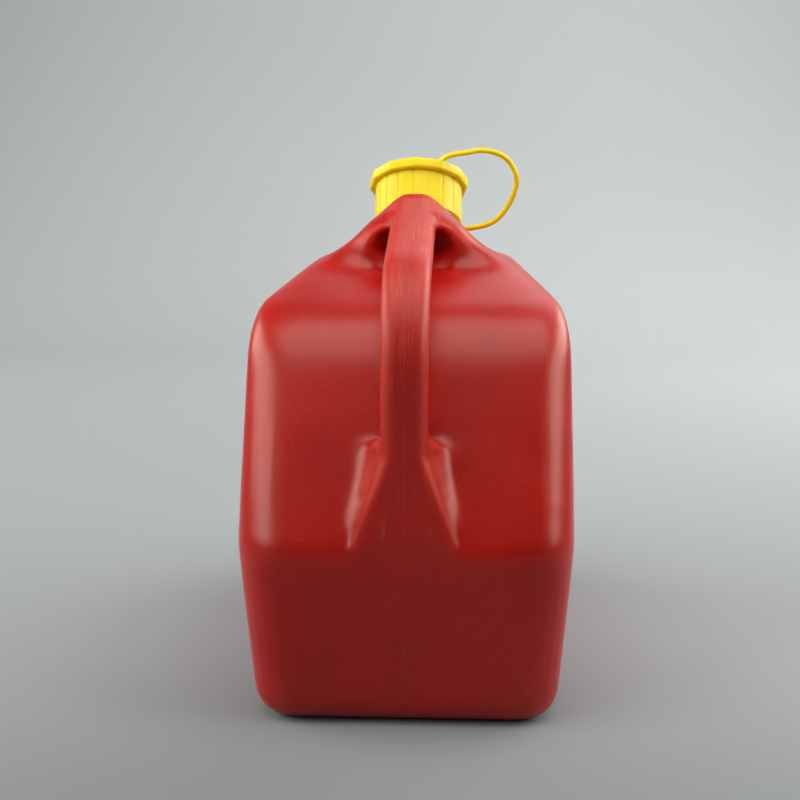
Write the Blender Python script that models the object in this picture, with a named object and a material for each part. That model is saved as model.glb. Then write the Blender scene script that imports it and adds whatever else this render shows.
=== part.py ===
"""Plastic fuel can with a screw cap on a moulded tether.

Metres, +Z up, origin in the middle of the base. +Y is the pouring side and -Y the handle side.
"""

import math
from collections import namedtuple

import bmesh
import bpy
from mathutils import Matrix, Vector

# Shared sizes
WALL = 0.002
GAP = 0.0003
OVERRUN = 0.004
SHARP_ANGLE = math.radians(35)

# Hull, from the floor up: a tub, a waist line, leaning walls and a hipped roof
BASE_HALF_WIDTH = 0.0671
BASE_HALF_LENGTH = 0.1192
BASE_CORNER = 0.019
BASE_EDGE = 0.0145
WAIST_HEIGHT = 0.0815
WAIST_HALF_WIDTH = 0.0735
WAIST_REAR_REACH = 0.1325
WAIST_FRONT_REACH = 0.1330
WAIST_CORNER = 0.021
WAIST_EDGE = 0.006
SHOULDER_HEIGHT = 0.1728
SHOULDER_HALF_WIDTH = 0.0730
SHOULDER_REAR = -0.0895
SHOULDER_FRONT = 0.118
SHOULDER_CORNER = 0.021
SHOULDER_EDGE = 0.020
RIDGE_HEIGHT = 0.1910
RIDGE_HALF_WIDTH = 0.0455
RIDGE_REAR = -0.0140
RIDGE_FRONT = 0.0380
RIDGE_CORNER = 0.012
CROWN_RISE = 0.009
CROWN_CENTRE = 0.015
CROWN_REAR_REACH = 0.120
CROWN_FRONT_REACH = 0.060
CORNER_STEPS = 6
EDGE_STEPS = 6
ROOF_STEPS = 4

# Neck, cap and tether, measured along the neck's axis from the seat that the neck stands on
NECK_TILT = math.radians(28)
NECK_SEAT_FORWARD = 0.0448
NECK_SEAT_HEIGHT = 0.2092
NECK_RADIUS = 0.0196
NECK_BORE = 0.0166
NECK_LENGTH = 0.0255
NECK_ROOT = 0.012
NECK_LIP = 0.0008
BEAD_RADIUS = 0.0204
BEAD_LENGTH = 0.0012
NECK_SIDES = 48

# Hood, the block between roof, handle and neck
HOOD_FOOT = 0.1995
HOOD_TOP = 0.2296
HOOD_HALF_WIDTH = 0.0400
HOOD_REAR = -0.0280
HOOD_FRONT = 0.0680
HOOD_FRONT_LEAN = math.radians(35)
HOOD_TAPER_START = 0.012
HOOD_TAPER_SHARE = 0.28
HOOD_CORNER = 0.011
# each row: way up from foot to top, share of the half width, share of the rear reach
HOOD_SHARES = (
    (-0.85, 1.16, 1.22),
    (-0.22, 1.13, 1.20),
    (-0.10, 1.10, 1.07),
    (0.04, 1.05, 1.01),
    (0.12, 0.955, 1.00),
    (0.22, 0.815, 0.99),
    (0.32, 0.73, 0.98),
    (0.52, 0.58, 0.96),
    (0.74, 0.40, 0.84),
    (0.86, 0.295, 0.33),
    (0.94, 0.21, 0.04),
    (1.00, 0.120, -0.05),
)
HOOD_CORNER_SHARE = 0.98

# Grip: a hollow loop that rises from a flared root at the waist and ends in the hood
GRIP_WIDTH = 0.0202
GRIP_TOP_WIDTH = 0.0214
GRIP_THICKNESS = 0.015
GRIP_CORNER = 0.0055
GRIP_UPRIGHT = 0.0290
GRIP_BEND_RADIUS = 0.0485
GRIP_BEND_TURN = math.radians(76.8)
GRIP_END = 0.0040
BEND_STEPS = 14
SECTION_STEPS = 4
ROOT_SINK = 0.006
ROOT_FACE_SINK = 0.002
ROOT_HALF_WIDTH = 0.0240
ROOT_TOP_SLOPE = 0.31
ROOT_FOOT_SLOPE = 1.8
ROOT_CORNER = 0.0020
ROOT_TOP = 0.1235
ROOT_SHARES = (0.06, 0.12, 0.19, 0.27, 0.36, 0.47, 0.6, 0.74, 0.88, 1.0)
WEB_RISE = 0.0060
WEB_BACK_HALF_WIDTH = 0.0181
WEB_SHARES = (0.3, 0.6, 0.85, 1.0)

# Finger dish under the grip
DISH_DEPTH = 0.0054
DISH_CENTRE = -0.0268
DISH_HALF_WIDTH = 0.0225
DISH_HALF_LENGTH = 0.0208
DISH_HALF_HEIGHT = 0.0135
ROOF_PITCH = math.radians(17.5)
DISH_SIDES = 28

# Screw cap: ribbed skirt, twelve-sided flange and a stud that the tether's eye turns on
CAP_CLEARANCE = 0.0006
SKIRT_RADIUS = 0.0231
SKIRT_BORE = 0.0208
RIB_COUNT = 18
RIB_GROOVE = 0.0006
RIB_SHARES = (0.0, 0.09, 0.5, 0.91)
FLANGE_RADIUS = 0.0267
FLANGE_SIDES = 12
CAP_PHASE = math.radians(-3)
FLANGE_THICKNESS = 0.0056
FLANGE_CHAMFER = 0.0008
CAP_TOP = 0.0302
CAP_PLATE = 0.0026
STUD_RADIUS = 0.0032
STUD_LENGTH = 0.0034
STUD_HEAD_RADIUS = 0.0046
STUD_HEAD_LENGTH = 0.0016

# Gasket between the mouth of the neck and the cap's plate
GASKET_OUTER = 0.0203
GASKET_INNER = 0.0158

# Tether: ring on the neck, strap, eye on the cap's stud
RING_OUTER = 0.0222
RING_THICKNESS = 0.0030
EYE_OUTER = 0.0068
EYE_THICKNESS = 0.0028
STRAP_DIAMETER = 0.0028
STUB_LENGTH = 0.0030
EYE_STUB_TURN = math.radians(-56)
STUB_SIDES = 16
EYE_SIDES = 32
SAMPLE_SPACING = 0.0022
CURVE_STEPS = 12
# the strap's way from the neck ring to the eye, in free air
STRAP_ROUTE = (
    Vector((0.0395, 0.0445, 0.2140)),
    Vector((0.0475, 0.0410, 0.2228)),
    Vector((0.0517, 0.0365, 0.2360)),
    Vector((0.0458, 0.0325, 0.2472)),
    Vector((0.0350, 0.0310, 0.2512)),
    Vector((0.0250, 0.0345, 0.2488)),
)

RED = (0.43, 0.013, 0.008, 1)
YELLOW = (0.80, 0.56, 0.006, 1)
BLACK = (0.02, 0.02, 0.02, 1)

Station = namedtuple("Station", "height half_width rear front corner")

neck_seat = Vector((0, NECK_SEAT_FORWARD, NECK_SEAT_HEIGHT))
to_neck = Matrix.Translation(neck_seat) @ Matrix.Rotation(-NECK_TILT, 4, "X")


def clear_scene():
    for thing in list(bpy.data.objects):
        bpy.data.objects.remove(thing, do_unlink=True)


def plastic(name, colour, roughness):
    material = bpy.data.materials.new(name)
    material.use_nodes = True
    shader = material.node_tree.nodes["Principled BSDF"]
    shader.inputs["Base Color"].default_value = colour
    shader.inputs["Roughness"].default_value = roughness
    shader.inputs["Metallic"].default_value = 0
    return material


def loft(name, rings, hoop=False):
    """One closed solid through rings of equally many points. A hoop's last ring meets its first."""
    mesh = bmesh.new()
    rows = [[mesh.verts.new(place) for place in ring] for ring in rings]
    following = rows[1:] + rows[:1] if hoop else rows[1:]
    for lower, upper in zip(rows, following):
        for k in range(len(lower)):
            after = (k + 1) % len(lower)
            mesh.faces.new((lower[k], lower[after], upper[after], upper[k]))
    if not hoop:
        mesh.faces.new(list(reversed(rows[0])))
        mesh.faces.new(rows[-1])
    bmesh.ops.recalc_face_normals(mesh, faces=mesh.faces)
    data = bpy.data.meshes.new(name)
    mesh.to_mesh(data)
    mesh.free()
    thing = bpy.data.objects.new(name, data)
    bpy.context.scene.collection.objects.link(thing)
    return thing


def boolean(base, tool, operation):
    """The base joined with the tool or cut by it. The tool is used up."""
    step = base.modifiers.new(operation.lower(), "BOOLEAN")
    step.operation = operation
    step.solver = "EXACT"
    step.object = tool
    graph = bpy.context.evaluated_depsgraph_get()
    result = bpy.data.meshes.new_from_object(base.evaluated_get(graph))
    base.modifiers.clear()
    base.data = result
    bpy.data.objects.remove(tool, do_unlink=True)
    return base


def keep_largest(thing):
    """Deletes every loose piece of a mesh but the one with most points."""
    mesh = bmesh.new()
    mesh.from_mesh(thing.data)
    unseen = set(mesh.verts)
    pieces = []
    while unseen:
        piece = set()
        edge = {next(iter(unseen))}
        while edge:
            piece |= edge
            edge = {side.other_vert(point) for point in edge for side in point.link_edges} - piece
        pieces.append(piece)
        unseen -= piece
    largest = max(pieces, key=len)
    small = [point for piece in pieces if piece is not largest for point in piece]
    bmesh.ops.delete(mesh, geom=small, context="VERTS")
    mesh.to_mesh(thing.data)
    mesh.free()
    return thing


def finish(thing, material):
    thing.data.materials.clear()
    thing.data.materials.append(material)
    thing.data.shade_smooth()
    thing.data.set_sharp_from_angle(angle=SHARP_ANGLE)
    return thing


def rounded_rectangle(half_width, rear, front, corner, steps):
    """Places round a rectangle in plan, with quarter circles at its corners."""
    corners = (
        (half_width - corner, front - corner, 0.0),
        (corner - half_width, front - corner, 0.5),
        (corner - half_width, rear + corner, 1.0),
        (half_width - corner, rear + corner, 1.5),
    )
    places = []
    for x, y, half_turns in corners:
        for k in range(steps + 1):
            angle = math.pi * (half_turns + 0.5 * k / steps)
            places.append((x + corner * math.cos(angle), y + corner * math.sin(angle)))
    return places


def crown(height, y):
    """How far the roof's level lies above its height at the rear shoulder."""
    reach = CROWN_FRONT_REACH if y > CROWN_CENTRE else CROWN_REAR_REACH
    rise = CROWN_RISE * (1 - ((y - CROWN_CENTRE) / reach) ** 2)
    share = (height - WAIST_HEIGHT) / (SHOULDER_HEIGHT - WAIST_HEIGHT)
    return rise * min(max(share, 0), 1) ** 2


def blend(first, second, share):
    """A station part of the way from one to another."""
    return Station(*(a + (b - a) * share for a, b in zip(first, second)))


def reach_share(reach, first, second):
    """The share of the way from one station to the next that a rounding takes."""
    return min(reach / math.hypot(first.height - second.height, first.rear - second.rear), 1)


def rounded_stations(stations, reaches):
    """The stations with each inner edge rounded over its reach, as a parabola."""
    rows = [stations[0]]
    for before, here, after, reach in zip(stations, stations[1:], stations[2:], reaches):
        start = blend(here, before, reach_share(reach, here, before))
        end = blend(here, after, reach_share(reach, here, after))
        for k in range(EDGE_STEPS + 1):
            share = k / EDGE_STEPS
            rows.append(blend(blend(start, here, share), blend(here, end, share), share))
    last = rows[-1]
    rows += [blend(last, stations[-1], k / ROOF_STEPS) for k in range(1, ROOF_STEPS + 1)]
    return rows


def hull(inset):
    """The can's main volume, or its inside where an inset is given."""
    floor = Station(
        0, BASE_HALF_WIDTH - BASE_EDGE, BASE_EDGE - BASE_HALF_LENGTH,
        BASE_HALF_LENGTH - BASE_EDGE, BASE_CORNER - BASE_EDGE,
    )
    base = Station(0, BASE_HALF_WIDTH, -BASE_HALF_LENGTH, BASE_HALF_LENGTH, BASE_CORNER)
    waist = Station(
        WAIST_HEIGHT, WAIST_HALF_WIDTH, -WAIST_REAR_REACH, WAIST_FRONT_REACH, WAIST_CORNER
    )
    shoulder = Station(
        SHOULDER_HEIGHT, SHOULDER_HALF_WIDTH, SHOULDER_REAR, SHOULDER_FRONT, SHOULDER_CORNER
    )
    ridge = Station(RIDGE_HEIGHT, RIDGE_HALF_WIDTH, RIDGE_REAR, RIDGE_FRONT, RIDGE_CORNER)
    edges = (BASE_EDGE, WAIST_EDGE, SHOULDER_EDGE)
    rings = []
    for row in rounded_stations((floor, base, waist, shoulder, ridge), edges):
        corner = max(row.corner - inset, WALL)
        outline = rounded_rectangle(
            row.half_width - inset, row.rear + inset, row.front - inset, corner, CORNER_STEPS
        )
        height = inset + row.height * (1 - 2 * inset / RIDGE_HEIGHT)
        rings.append([Vector((x, y, height + crown(row.height, y))) for x, y in outline])
    return loft("hull", rings)


def seat_front(height, inset):
    """How far forward the hood reaches: to the plane that the neck stands on, or the front wall."""
    seat = NECK_SEAT_FORWARD + (NECK_SEAT_HEIGHT - height) / math.tan(NECK_TILT)
    wall = HOOD_FRONT + (HOOD_FOOT - height) * math.tan(HOOD_FRONT_LEAN)
    return min(seat - inset / math.sin(NECK_TILT), wall - inset / math.cos(HOOD_FRONT_LEAN))


def hood_taper(y):
    """The share of its width that the hood keeps towards its front."""
    way = (y - HOOD_TAPER_START) / (HOOD_FRONT - HOOD_TAPER_START)
    return 1 - HOOD_TAPER_SHARE * max(way, 0)


def hood(inset):
    """The block that rises from the roof and carries the neck."""
    rings = []
    tall = HOOD_TOP - HOOD_FOOT
    for up, width, back in HOOD_SHARES:
        height = HOOD_FOOT + tall * up - inset
        half_width = HOOD_HALF_WIDTH * width
        half_width = max(half_width - inset / math.sqrt(2), half_width / 2)
        rear = HOOD_REAR * back + inset
        front = max(seat_front(height, inset), rear + 2 * half_width * width)
        corner = min(HOOD_CORNER, half_width, (front - rear) / 2) * HOOD_CORNER_SHARE
        outline = rounded_rectangle(half_width, rear, front, corner, CORNER_STEPS)
        rings.append([Vector((x * hood_taper(y), y, height)) for x, y in outline])
    return loft("hood", rings)


def grip_section(place, turn, face, back, thickness, corner, inset):
    """A rounded four-sided section. Its outer face is at the place, its back lies inwards."""
    outwards = Vector((0, -math.cos(turn), math.sin(turn)))
    outer, inner = -inset, inset - thickness
    face_half, back_half = face - inset, back - inset
    corner = max(corner - inset, WALL / 2)
    corners = (
        (face_half - corner, outer - corner, 0.0),
        (corner - face_half, outer - corner, 0.5),
        (corner - back_half, inner + corner, 1.0),
        (back_half - corner, inner + corner, 1.5),
    )
    places = []
    for across, out, half_turns in corners:
        for k in range(SECTION_STEPS + 1):
            angle = math.pi * (half_turns + 0.5 * k / SECTION_STEPS)
            x = across + corner * math.cos(angle)
            places.append(place + Vector((x, 0, 0)) + outwards * (out + corner * math.sin(angle)))
    return places


def panel_rear(height):
    """Where the leaning rear panel stands at a height."""
    share = (height - WAIST_HEIGHT) / (SHOULDER_HEIGHT - WAIST_HEIGHT)
    return -WAIST_REAR_REACH + (SHOULDER_REAR + WAIST_REAR_REACH) * share


def root_sections(inset):
    """The flared root, from just under the waist to the web that closes the finger hole."""
    half = GRIP_WIDTH / 2
    deeper = 2 * inset
    sunk = Vector((0, ROOT_FACE_SINK - WAIST_REAR_REACH, WAIST_HEIGHT - ROOT_SINK))
    wide = ROOT_HALF_WIDTH
    foot_back = wide + (ROOT_TOP_SLOPE + ROOT_FOOT_SLOPE) * ROOT_SINK
    rows = [grip_section(sunk, 0, wide, foot_back, 2 * ROOT_SINK + deeper, ROOT_CORNER, inset)]
    for share in ROOT_SHARES:
        height = WAIST_HEIGHT + (ROOT_TOP - inset - WAIST_HEIGHT) * share
        place = Vector((0, -WAIST_REAR_REACH, height))
        face = wide + (half - wide) * share
        slope = ROOT_TOP_SLOPE + ROOT_FOOT_SLOPE * (1 - share) ** 3
        depth = panel_rear(height) + WAIST_REAR_REACH + ROOT_SINK
        back = face + slope * depth
        thickness = depth + deeper
        corner = ROOT_CORNER + (GRIP_CORNER - ROOT_CORNER) * share
        rows.append(grip_section(place, 0, face, back, thickness, corner, inset))
    web_deep = panel_rear(ROOT_TOP + WEB_RISE) + WAIST_REAR_REACH
    for share in WEB_SHARES:
        height = ROOT_TOP + WEB_RISE * share - inset
        place = Vector((0, -WAIST_REAR_REACH, height))
        part = share**2
        back = WEB_BACK_HALF_WIDTH + (half - WEB_BACK_HALF_WIDTH) * part
        thickness = web_deep + (GRIP_THICKNESS - web_deep) * part
        rows.append(grip_section(place, 0, half, back, thickness, GRIP_CORNER, inset))
    return rows


def grip(inset):
    """The hollow loop with its root: straight up, round the bend and forward into the hood."""
    rows = root_sections(inset)
    bend_start = ROOT_TOP + WEB_RISE + GRIP_UPRIGHT
    centre = Vector((0, GRIP_BEND_RADIUS - WAIST_REAR_REACH, bend_start))
    for k in range(BEND_STEPS + 1):
        turn = GRIP_BEND_TURN * k / BEND_STEPS
        way = Vector((0, -math.cos(turn), math.sin(turn)))
        half = (GRIP_WIDTH + (GRIP_TOP_WIDTH - GRIP_WIDTH) * k / BEND_STEPS) / 2
        shape = (half, half, GRIP_THICKNESS, GRIP_CORNER, inset)
        rows.append(grip_section(centre + GRIP_BEND_RADIUS * way, turn, *shape))
    leave = centre + GRIP_BEND_RADIUS * way
    along = Vector((0, math.sin(GRIP_BEND_TURN), math.cos(GRIP_BEND_TURN)))
    length = (GRIP_END - inset - leave.y) / along.y
    rows.append(grip_section(leave + along * length / 2, GRIP_BEND_TURN, *shape))
    rows.append(grip_section(leave + along * length, GRIP_BEND_TURN, *shape))
    return loft("grip", rows)


def roof_height(y):
    """The roof's middle line behind the ridge."""
    share = (y - SHOULDER_REAR) / (RIDGE_REAR - SHOULDER_REAR)
    height = SHOULDER_HEIGHT + (RIDGE_HEIGHT - SHOULDER_HEIGHT) * share
    return height + crown(height, y)


def dish(spread):
    """The bowl that makes room for fingers under the grip."""
    mesh = bmesh.new()
    bmesh.ops.create_uvsphere(mesh, u_segments=DISH_SIDES, v_segments=DISH_SIDES // 2, radius=1)
    data = bpy.data.meshes.new("dish")
    mesh.to_mesh(data)
    mesh.free()
    half_sizes = (DISH_HALF_WIDTH, DISH_HALF_LENGTH, DISH_HALF_HEIGHT)
    data.transform(Matrix.Diagonal((*(half + spread for half in half_sizes), 1)))
    data.transform(Matrix.Rotation(ROOF_PITCH, 4, "X"))
    middle = roof_height(DISH_CENTRE) + DISH_HALF_HEIGHT - DISH_DEPTH
    data.transform(Matrix.Translation((0, DISH_CENTRE, middle)))
    thing = bpy.data.objects.new("dish", data)
    bpy.context.scene.collection.objects.link(thing)
    return thing


def circle(radius, height, sides):
    """Places round the neck's axis, which is the local Z axis."""
    turns = [2 * math.pi * k / sides for k in range(sides)]
    return [Vector((radius * math.cos(t), radius * math.sin(t), height)) for t in turns]


def turned(name, profile, sides, hoop=False):
    """A solid of revolution on the neck's axis, from (radius, height) pairs."""
    thing = loft(name, [circle(radius, height, sides) for radius, height in profile], hoop)
    thing.data.transform(to_neck)
    return thing


def on_neck_axis(thing):
    """Puts a piece modelled about +Z on the neck, with its origin on the axis."""
    thing.matrix_world = to_neck
    return thing


def ring_seat():
    """How far up the neck its bead starts, past the tether's ring."""
    return GAP + RING_THICKNESS + GAP


def neck():
    """The neck's outer surface with the bead that holds the tether's ring down."""
    bead = ring_seat() + GAP
    profile = (
        (NECK_RADIUS, -NECK_ROOT),
        (NECK_RADIUS, bead),
        (BEAD_RADIUS, bead + BEAD_LENGTH / 3),
        (BEAD_RADIUS, bead + BEAD_LENGTH * 2 / 3),
        (NECK_RADIUS, bead + BEAD_LENGTH),
        (NECK_RADIUS, NECK_LENGTH - NECK_LIP),
        (NECK_RADIUS - NECK_LIP, NECK_LENGTH),
    )
    return turned("neck", profile, NECK_SIDES)


def can_body(material):
    """The blow-moulded shell: its outer form less its inner form, open at the neck."""
    outside = boolean(hull(0), hood(0), "UNION")
    outside = boolean(outside, dish(0), "DIFFERENCE")
    outside = boolean(outside, grip(0), "UNION")
    outside = boolean(outside, neck(), "UNION")
    inside = boolean(hull(WALL), hood(WALL), "UNION")
    inside = boolean(inside, dish(WALL), "DIFFERENCE")
    inside = boolean(inside, grip(WALL), "UNION")
    bore = turned(
        "bore", ((NECK_BORE, -NECK_ROOT), (NECK_BORE, NECK_LENGTH + OVERRUN)), NECK_SIDES
    )
    inside = keep_largest(boolean(inside, bore, "UNION"))
    body = boolean(outside, inside, "DIFFERENCE")
    body.name = "can_body"
    return finish(body, material)


def rib_turns():
    """Angles round the cap: a groove, its two edges and a land's middle for every rib."""
    pitch = 2 * math.pi / RIB_COUNT
    return [pitch * (k + share) for k in range(RIB_COUNT) for share in RIB_SHARES]


def cap_ring(radius_at, height):
    """One level of the cap, with the radius given as a function of the angle."""
    ring = []
    for turn in rib_turns():
        way = Vector((math.cos(turn + CAP_PHASE), math.sin(turn + CAP_PHASE), 0))
        ring.append(radius_at(turn) * way + Vector((0, 0, height)))
    return ring


def plain(radius):
    return lambda turn: radius


def ribbed(turn):
    """The skirt's radius, which is less in a groove between two ribs."""
    share = turn / (2 * math.pi / RIB_COUNT) % 1
    in_groove = min(share, 1 - share) < RIB_SHARES[1] / 2
    return SKIRT_RADIUS - RIB_GROOVE if in_groove else SKIRT_RADIUS


def polygonal(radius):
    """The radius of a regular polygon with this radius at its corners."""
    side = 2 * math.pi / FLANGE_SIDES
    return lambda turn: radius * math.cos(side / 2) / math.cos(turn % side - side / 2)


def screw_cap(material):
    """One moulding, from the ceiling of its bore out over the skirt and flange to the stud."""
    skirt_foot = ring_seat() + CAP_CLEARANCE
    ceiling = CAP_TOP - CAP_PLATE
    flange_foot = CAP_TOP - FLANGE_THICKNESS
    stud_top = CAP_TOP + STUD_LENGTH
    rings = [
        cap_ring(plain(SKIRT_BORE), ceiling),
        cap_ring(plain(SKIRT_BORE), skirt_foot),
        cap_ring(ribbed, skirt_foot),
        cap_ring(ribbed, flange_foot),
        cap_ring(polygonal(FLANGE_RADIUS), flange_foot),
        cap_ring(polygonal(FLANGE_RADIUS), CAP_TOP - FLANGE_CHAMFER),
        cap_ring(polygonal(FLANGE_RADIUS - FLANGE_CHAMFER), CAP_TOP),
        cap_ring(plain(STUD_RADIUS), CAP_TOP),
        cap_ring(plain(STUD_RADIUS), stud_top),
        cap_ring(plain(STUD_HEAD_RADIUS), stud_top),
        cap_ring(plain(STUD_RADIUS), stud_top + STUD_HEAD_LENGTH),
    ]
    return finish(on_neck_axis(loft("screw_cap", rings)), material)


def hoop(name, inner, outer, foot, top, sides, material):
    """A flat ring of square section about the neck's axis."""
    profile = ((inner, foot), (outer, foot), (outer, top), (inner, top))
    rings = [circle(radius, height, sides) for radius, height in profile]
    return finish(on_neck_axis(loft(name, rings, hoop=True)), material)


def cap_gasket(material):
    foot = NECK_LENGTH + GAP
    top = CAP_TOP - CAP_PLATE - GAP
    return hoop("cap_gasket", GASKET_INNER, GASKET_OUTER, foot, top, NECK_SIDES, material)


def stub(start, length, turn, height):
    """The round root that joins the strap to a ring or eye."""
    rings = []
    for distance in (start, start + length):
        across = circle(STRAP_DIAMETER / 2, 0, STUB_SIDES)
        rings.append([Vector((distance, place.x, place.y + height)) for place in across])
    thing = loft("stub", rings)
    thing.data.transform(Matrix.Rotation(turn, 4, "Z"))
    thing.matrix_world = to_neck
    return thing


def ring_height():
    return GAP + RING_THICKNESS / 2


def eye_height():
    return CAP_TOP + GAP + EYE_THICKNESS / 2


def tether_neck_ring(material):
    inner = NECK_RADIUS + GAP
    ring = hoop("tether_neck_ring", inner, RING_OUTER, GAP, ring_seat() - GAP, NECK_SIDES, material)
    root = (inner + RING_OUTER) / 2
    joined = boolean(ring, stub(root, RING_OUTER + STUB_LENGTH - root, 0, ring_height()), "UNION")
    return finish(joined, material)


def tether_cap_eye(material):
    inner = STUD_RADIUS + GAP
    foot = CAP_TOP + GAP
    eye = hoop("tether_cap_eye", inner, EYE_OUTER, foot, foot + EYE_THICKNESS, EYE_SIDES, material)
    root = (inner + EYE_OUTER) / 2
    length = EYE_OUTER + STUB_LENGTH - root
    joined = boolean(eye, stub(root, length, EYE_STUB_TURN, eye_height()), "UNION")
    return finish(joined, material)


def strap_route():
    """Places that the strap passes, from the ring's stub to the eye's stub."""
    ring_end = RING_OUTER + STUB_LENGTH + GAP
    eye_end = EYE_OUTER + STUB_LENGTH + GAP
    eye_way = Vector((math.cos(EYE_STUB_TURN), math.sin(EYE_STUB_TURN), 0))
    over_rim = FLANGE_RADIUS + STRAP_DIAMETER / 2
    near_ring = [Vector((ring_end, 0, ring_height()))]
    near_ring.append(near_ring[0] + Vector((STRAP_DIAMETER, 0, 0)))
    near_eye = [eye_way * distance for distance in (over_rim, eye_end + STRAP_DIAMETER, eye_end)]
    near_eye = [place + Vector((0, 0, eye_height())) for place in near_eye]
    return (
        [to_neck @ place for place in near_ring]
        + list(STRAP_ROUTE)
        + [to_neck @ place for place in near_eye]
    )


def smooth_curve(route, steps):
    """Places close together on a smooth curve through the route (Catmull-Rom)."""
    padded = [2 * route[0] - route[1], *route, 2 * route[-1] - route[-2]]
    places = []
    for a, b, c, d in zip(padded, padded[1:], padded[2:], padded[3:]):
        for k in range(steps):
            t = k / steps
            places.append(
                (2 * b + (c - a) * t + (2 * a - 5 * b + 4 * c - d) * t**2
                 + (3 * b - 3 * c + d - a) * t**3) / 2
            )
    return [*places, route[-1]]


def along_curve(places, distance):
    """The place and direction at a distance along the places."""
    for first, second in zip(places, places[1:]):
        step = (second - first).length
        if distance <= step:
            return first + (second - first) * (distance / step), (second - first).normalized()
        distance -= step
    return places[-1], (places[-1] - places[-2]).normalized()


def strap(name, places, start, end, material):
    """A round strap between two distances along the curve."""
    count = round((end - start) / SAMPLE_SPACING)
    curve = bpy.data.curves.new(name, "CURVE")
    curve.dimensions = "3D"
    curve.bevel_depth = STRAP_DIAMETER / 2
    curve.bevel_resolution = 2
    curve.use_fill_caps = True
    spline = curve.splines.new("POLY")
    spline.points.add(count)
    for k in range(count + 1):
        place, _ = along_curve(places, start + (end - start) * k / count)
        spline.points[k].co = (*place, 1)
    curve.materials.append(material)
    thing = bpy.data.objects.new(name, curve)
    bpy.context.scene.collection.objects.link(thing)
    return thing


def tether_straps(material):
    """The strap in two lengths that meet face to face half way round its loop."""
    places = smooth_curve(strap_route(), CURVE_STEPS)
    length = sum((b - a).length for a, b in zip(places, places[1:]))
    middle = length / 2
    strap("tether_strap_lower", places, 0, middle - GAP / 2, material)
    strap("tether_strap_upper", places, middle + GAP / 2, length, material)
    print("strap length", round(length, 4))


def main():
    clear_scene()
    red = plastic("red_plastic", RED, 0.45)
    yellow = plastic("yellow_plastic", YELLOW, 0.35)
    black = plastic("black_rubber", BLACK, 0.7)
    can_body(red)
    screw_cap(yellow)
    cap_gasket(black)
    tether_neck_ring(yellow)
    tether_cap_eye(yellow)
    tether_straps(yellow)


main()
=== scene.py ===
# %% [markdown]
# # A plastic fuel can
#
# The real object is a red blow-moulded can with a looped hollow grip, and a yellow screw cap that
# hangs on a moulded tether. A rough solid of every piece is loaded first. This lesson dresses those
# solids: it gives the can its soft skin, turns the cap and the neck with their threads, bends the
# strap, and then sets materials, light and camera.

import math

import bpy
import numpy as np
from mathutils import Matrix, Vector


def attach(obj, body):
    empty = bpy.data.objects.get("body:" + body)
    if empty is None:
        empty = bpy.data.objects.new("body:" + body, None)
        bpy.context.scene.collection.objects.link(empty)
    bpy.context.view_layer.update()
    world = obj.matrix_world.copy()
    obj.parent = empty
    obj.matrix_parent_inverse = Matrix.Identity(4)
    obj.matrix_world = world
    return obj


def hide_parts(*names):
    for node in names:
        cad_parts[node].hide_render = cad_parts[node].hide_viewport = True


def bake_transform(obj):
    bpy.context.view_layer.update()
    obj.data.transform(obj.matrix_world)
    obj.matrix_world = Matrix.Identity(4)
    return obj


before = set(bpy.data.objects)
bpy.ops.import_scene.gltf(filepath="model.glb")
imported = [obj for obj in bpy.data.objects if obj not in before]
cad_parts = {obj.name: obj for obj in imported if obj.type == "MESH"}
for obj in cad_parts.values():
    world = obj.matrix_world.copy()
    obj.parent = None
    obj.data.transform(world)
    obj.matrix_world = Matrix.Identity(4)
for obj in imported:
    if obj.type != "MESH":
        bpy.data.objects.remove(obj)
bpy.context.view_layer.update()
print("solids", sorted(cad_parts))

# %% [markdown]
# ## Small helpers
#
# Blender's operators act on what is selected and active. Each helper here first empties the
# selection, so that an operator never reaches a piece that it shouldn't.

# %% Select one piece, add one, apply its modifiers, smooth its shading


def only(piece):
    """Makes one piece the selected and active one."""
    bpy.ops.object.select_all(action="DESELECT")
    piece.select_set(True)
    bpy.context.view_layer.objects.active = piece
    return piece


def add(make, **options):
    """Adds an object with an operator while nothing is selected, and returns it."""
    bpy.ops.object.select_all(action="DESELECT")
    make(**options)
    return bpy.context.object


def apply_modifiers(piece):
    only(piece)
    for step in list(piece.modifiers):
        bpy.ops.object.modifier_apply(modifier=step.name)
    return piece


def settle(piece):
    """Moves a piece's place into its mesh, so that its object sits at the origin."""
    only(piece)
    bpy.ops.object.transform_apply(location=True, rotation=True, scale=True)
    return piece


def shade(piece, degrees=35):
    """Smooth shading, except over edges that are sharper than the angle."""
    only(piece)
    bpy.ops.object.shade_smooth_by_angle(angle=math.radians(degrees))
    print(piece.name, len(piece.data.polygons), "faces")
    return piece


def combine(base, tool, operation):
    """Joins a tool to a piece, or cuts the piece with it. The tool is used up."""
    step = base.modifiers.new("combine", "BOOLEAN")
    step.object = tool
    step.operation = operation
    step.solver = "EXACT"
    apply_modifiers(base)
    bpy.data.objects.remove(tool, do_unlink=True)
    return base


def fill_ends():
    bpy.ops.mesh.fill_holes(sides=0)


def face_out(piece, fill=None):
    """Turns a mesh's faces outwards, after its open rims are filled if a way to fill is given."""
    only(piece)
    bpy.ops.object.mode_set(mode="EDIT")
    if fill:
        bpy.ops.mesh.select_all(action="DESELECT")
        bpy.ops.mesh.select_non_manifold(extend=False)
        fill()
    bpy.ops.mesh.select_all(action="SELECT")
    bpy.ops.mesh.normals_make_consistent(inside=False)
    bpy.ops.object.mode_set(mode="OBJECT")
    return piece


# %% [markdown]
# ## The camera
#
# The photograph looks at the handle side from 0.57 m behind the can and a little above it. These
# values were found by fitting the outline of the can: a 63 mm lens, tipped down 9.5 degrees and
# turned 2.6 degrees, so that a sliver of the right side shows.

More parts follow.
